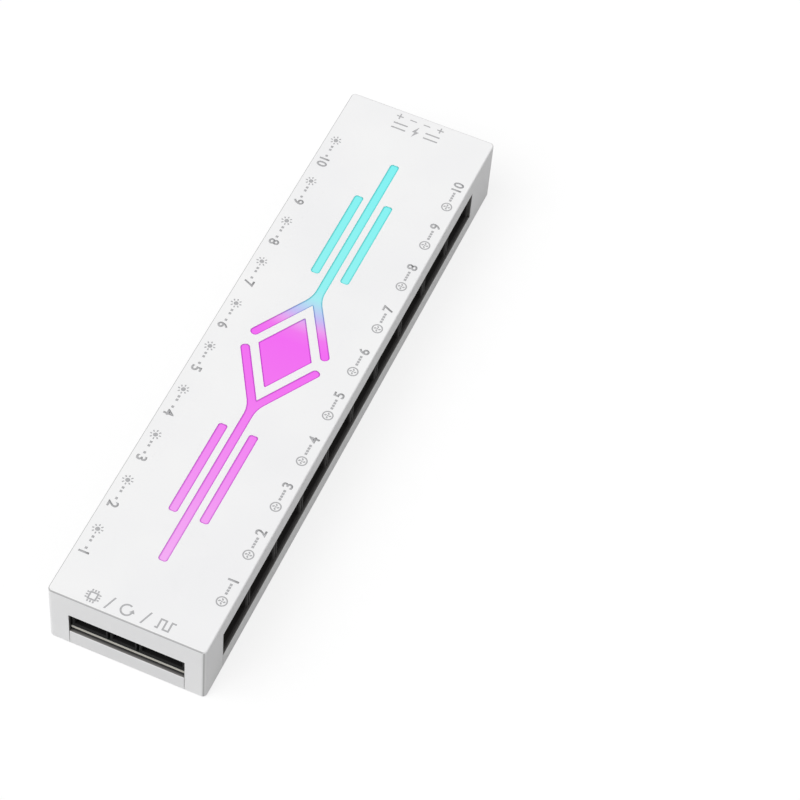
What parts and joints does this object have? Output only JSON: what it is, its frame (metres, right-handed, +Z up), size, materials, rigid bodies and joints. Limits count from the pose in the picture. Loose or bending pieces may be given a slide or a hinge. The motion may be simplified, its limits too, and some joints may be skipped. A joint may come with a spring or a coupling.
{
  "type": "pc fan controller hub",
  "caption": "Slim white box that shares power and light signals among plugs along both long sides, with a lit line figure on its top and a magnetic pad underneath.",
  "frame": {"origin": "middle of the bottom face", "axes": "+Z up, +Y along the length from the signal end to the power end, +X towards the row of fan headers"},
  "size_m": [0.034, 0.145, 0.0164],
  "materials": {
    "case_plastic": "satin",
    "milky_plastic": "satin",
    "magnet_rubber": "satin",
    "header_plastic": "satin",
    "pin_metal": "polished",
    "board_laminate": "satin",
    "screw_steel": "polished",
    "chip_plastic": "satin",
    "emitter_plastic": "satin",
    "capacitor_metal": "satin"
  },
  "bodies": {
    "root": {"board_screws": "screw_steel", "bottom_cover": "case_plastic", "bulk_capacitors": "capacitor_metal", "circuit_board": "board_laminate", "controller_chip": "chip_plastic", "fan_header_1": "header_plastic", "fan_header_10": "header_plastic", "fan_header_2": "header_plastic", "fan_header_3": "header_plastic", "fan_header_4": "header_plastic", "fan_header_5": "header_plastic", "fan_header_6": "header_plastic", "fan_header_7": "header_plastic", "fan_header_8": "header_plastic", "fan_header_9": "header_plastic", "fan_pins_1": "pin_metal", "fan_pins_10": "pin_metal", "fan_pins_2": "pin_metal", "fan_pins_3": "pin_metal", "fan_pins_4": "pin_metal", "fan_pins_5": "pin_metal", "fan_pins_6": "pin_metal", "fan_pins_7": "pin_metal", "fan_pins_8": "pin_metal", "fan_pins_9": "pin_metal", "light_emitters": "emitter_plastic", "light_guide": "milky_plastic", "magnetic_pad": "magnet_rubber", "power_pins": "pin_metal", "power_socket": "header_plastic", "pwm_pins": "pin_metal", "pwm_socket": "header_plastic", "reset_pins": "pin_metal", "reset_socket": "header_plastic", "rgb_header_1": "header_plastic", "rgb_header_10": "header_plastic", "rgb_header_2": "header_plastic", "rgb_header_3": "header_plastic", "rgb_header_4": "header_plastic", "rgb_header_5": "header_plastic", "rgb_header_6": "header_plastic", "rgb_header_7": "header_plastic", "rgb_header_8": "header_plastic", "rgb_header_9": "header_plastic", "rgb_pins_1": "pin_metal", "rgb_pins_10": "pin_metal", "rgb_pins_2": "pin_metal", "rgb_pins_3": "pin_metal", "rgb_pins_4": "pin_metal", "rgb_pins_5": "pin_metal", "rgb_pins_6": "pin_metal", "rgb_pins_7": "pin_metal", "rgb_pins_8": "pin_metal", "rgb_pins_9": "pin_metal", "signal_buffer": "chip_plastic", "sync_pins": "pin_metal", "sync_socket": "header_plastic", "top_shell": "case_plastic", "voltage_regulator": "chip_plastic"}
  },
  "joints": []
}
